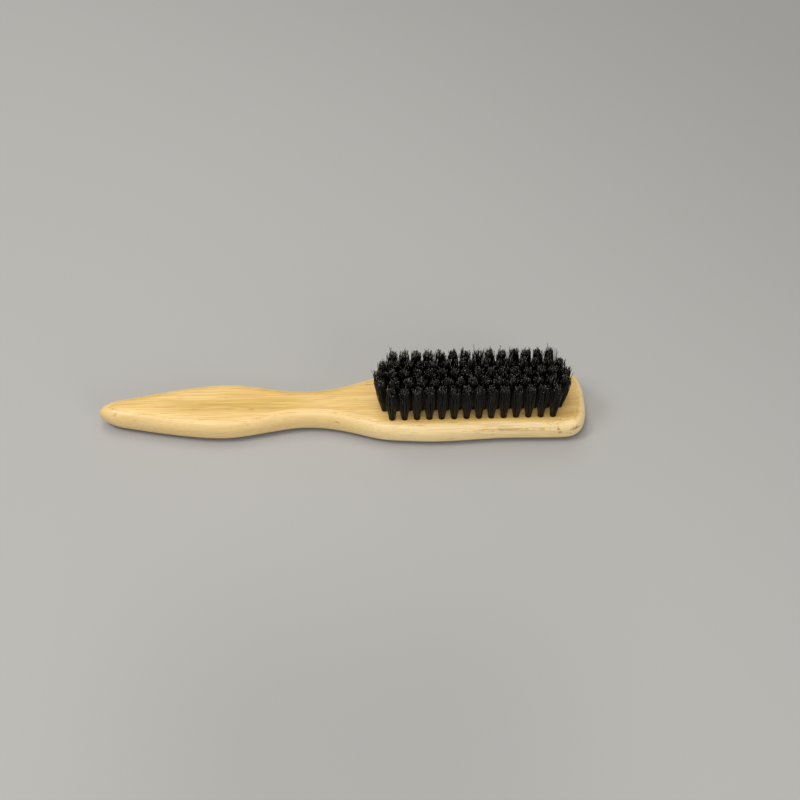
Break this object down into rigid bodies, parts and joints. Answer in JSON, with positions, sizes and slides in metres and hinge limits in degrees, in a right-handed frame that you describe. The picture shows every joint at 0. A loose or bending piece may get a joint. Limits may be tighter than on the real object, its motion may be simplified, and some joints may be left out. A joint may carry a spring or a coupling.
{
  "type": "beard brush",
  "caption": "Hand-held beard brush: a slim bamboo paddle handle with a flat back and a block of dark staple-set boar bristle tufts on its head.",
  "frame": {"origin": "middle of the brush's outline, on the plane of its flat back", "axes": "+X along the brush from the handle's nose to the head's end, +Y across the brush, +Z out of the bristle side"},
  "size_m": [0.179, 0.0296, 0.0255],
  "materials": {
    "bamboo": "sanded smooth with a thin satin oil",
    "bristle": "glossy black boar hair, cut level with ragged tips",
    "anchor_wire": "bare flat wire"
  },
  "bodies": {
    "root": {"anchors_row_1": "anchor_wire", "anchors_row_2": "anchor_wire", "anchors_row_3": "anchor_wire", "anchors_row_4": "anchor_wire", "anchors_row_5": "anchor_wire", "bamboo_body": "bamboo", "tufts_row_1_group_1": "bristle", "tufts_row_1_group_2": "bristle", "tufts_row_1_group_3": "bristle", "tufts_row_1_group_4": "bristle", "tufts_row_1_group_5": "bristle", "tufts_row_2_group_1": "bristle", "tufts_row_2_group_2": "bristle", "tufts_row_2_group_3": "bristle", "tufts_row_2_group_4": "bristle", "tufts_row_2_group_5": "bristle", "tufts_row_3_group_1": "bristle", "tufts_row_3_group_2": "bristle", "tufts_row_3_group_3": "bristle", "tufts_row_3_group_4": "bristle", "tufts_row_3_group_5": "bristle", "tufts_row_4_group_1": "bristle", "tufts_row_4_group_2": "bristle", "tufts_row_4_group_3": "bristle", "tufts_row_4_group_4": "bristle", "tufts_row_4_group_5": "bristle", "tufts_row_5_group_1": "bristle", "tufts_row_5_group_2": "bristle", "tufts_row_5_group_3": "bristle", "tufts_row_5_group_4": "bristle", "tufts_row_5_group_5": "bristle"}
  },
  "joints": []
}
